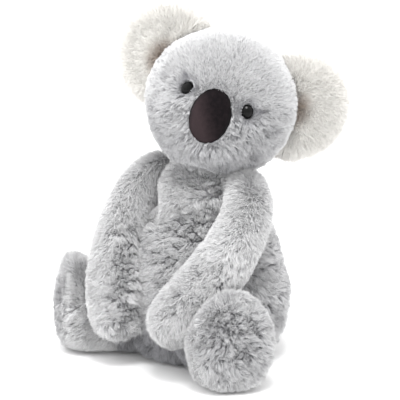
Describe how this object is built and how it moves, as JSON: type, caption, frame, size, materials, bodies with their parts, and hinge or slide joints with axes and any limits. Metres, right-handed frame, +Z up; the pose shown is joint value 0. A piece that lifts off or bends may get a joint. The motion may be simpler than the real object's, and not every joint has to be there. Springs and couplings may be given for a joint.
{
  "type": "plush koala",
  "caption": "Sitting plush koala with grey pile skins, fluffy cream ears, brown suede nose and black eyes; head, ears, arms and legs move.",
  "frame": {"origin": "middle of the flat under the body, on the surface that the koala sits on", "axes": "+Z up; the body faces -Y; the koala's own left side is +X"},
  "size_m": [0.1656, 0.1456, 0.2192],
  "materials": {
    "grey_pile": "matte",
    "cream_pile": "matte",
    "brown_suede": "matte",
    "black_eye": "gloss",
    "white_fibre": "matte",
    "pouch_cloth": "matte",
    "washer_plastic": "matte",
    "grey_thread": "matte"
  },
  "bodies": {
    "body": {"body_skin": "grey_pile", "body_filling": "white_fibre", "bean_pouch": "pouch_cloth", "back_seam_thread": "grey_thread"},
    "neck": {"neck_filling": "white_fibre"},
    "head": {"head_skin": "grey_pile", "head_filling": "white_fibre", "eye_left": "black_eye", "eye_washer_left": "washer_plastic", "eye_right": "black_eye", "eye_washer_right": "washer_plastic", "nose_cover": "brown_suede", "nose_filling": "white_fibre"},
    "ear_left": {"ear_left_front": "cream_pile", "ear_left_back": "cream_pile", "ear_left_filling": "white_fibre"},
    "arm_left": {"arm_left_skin": "grey_pile", "arm_left_filling": "white_fibre"},
    "leg_left": {"leg_left_skin": "grey_pile", "leg_left_sole": "grey_pile", "leg_left_filling": "white_fibre"},
    "ear_right": {"ear_right_front": "cream_pile", "ear_right_back": "cream_pile", "ear_right_filling": "white_fibre"},
    "arm_right": {"arm_right_skin": "grey_pile", "arm_right_filling": "white_fibre"},
    "leg_right": {"leg_right_skin": "grey_pile", "leg_right_sole": "grey_pile", "leg_right_filling": "white_fibre"}
  },
  "joints": [
    {"name": "neck_turn", "type": "hinge", "parent": "body", "child": "neck", "pos_m": [0, 0.008, 0.105], "axis": [0.1127, 0.0805, 0.9904], "range_deg": [-30, 30], "stiffness_Nm_per_rad": 0.3},
    {"name": "head_nod", "type": "hinge", "parent": "neck", "child": "head", "pos_m": [0, 0.008, 0.105], "axis": [-0.8097, -0.4769, 0.342], "range_deg": [-12, 15], "stiffness_Nm_per_rad": 0.3},
    {"name": "arm_left_raise", "type": "hinge", "parent": "body", "child": "arm_left", "pos_m": [0, 0.008, 0.105], "axis": [-1, 0, 0], "range_deg": [0, 60]},
    {"name": "arm_right_raise", "type": "hinge", "parent": "body", "child": "arm_right", "pos_m": [0, 0.008, 0.105], "axis": [-1, 0, 0], "range_deg": [0, 60]},
    {"name": "leg_left_splay", "type": "hinge", "parent": "body", "child": "leg_left", "pos_m": [0.035, -0.024, 0.0245], "axis": [0, 0, 1], "range_deg": [0, 20]},
    {"name": "leg_right_splay", "type": "hinge", "parent": "body", "child": "leg_right", "pos_m": [-0.035, -0.024, 0.0245], "axis": [0, 0, -1], "range_deg": [0, 20]},
    {"name": "ear_left_fold", "type": "hinge", "parent": "head", "child": "ear_left", "pos_m": [0.03505, 0.04714, 0.16122], "axis": [0.1088, 0.0641, 0.992], "range_deg": [-20, 20], "stiffness_Nm_per_rad": 0.02},
    {"name": "ear_right_fold", "type": "hinge", "parent": "head", "child": "ear_right", "pos_m": [-0.03102, 0.00822, 0.18913], "axis": [-0.4661, -0.2745, -0.8411], "range_deg": [-20, 20], "stiffness_Nm_per_rad": 0.02}
  ]
}
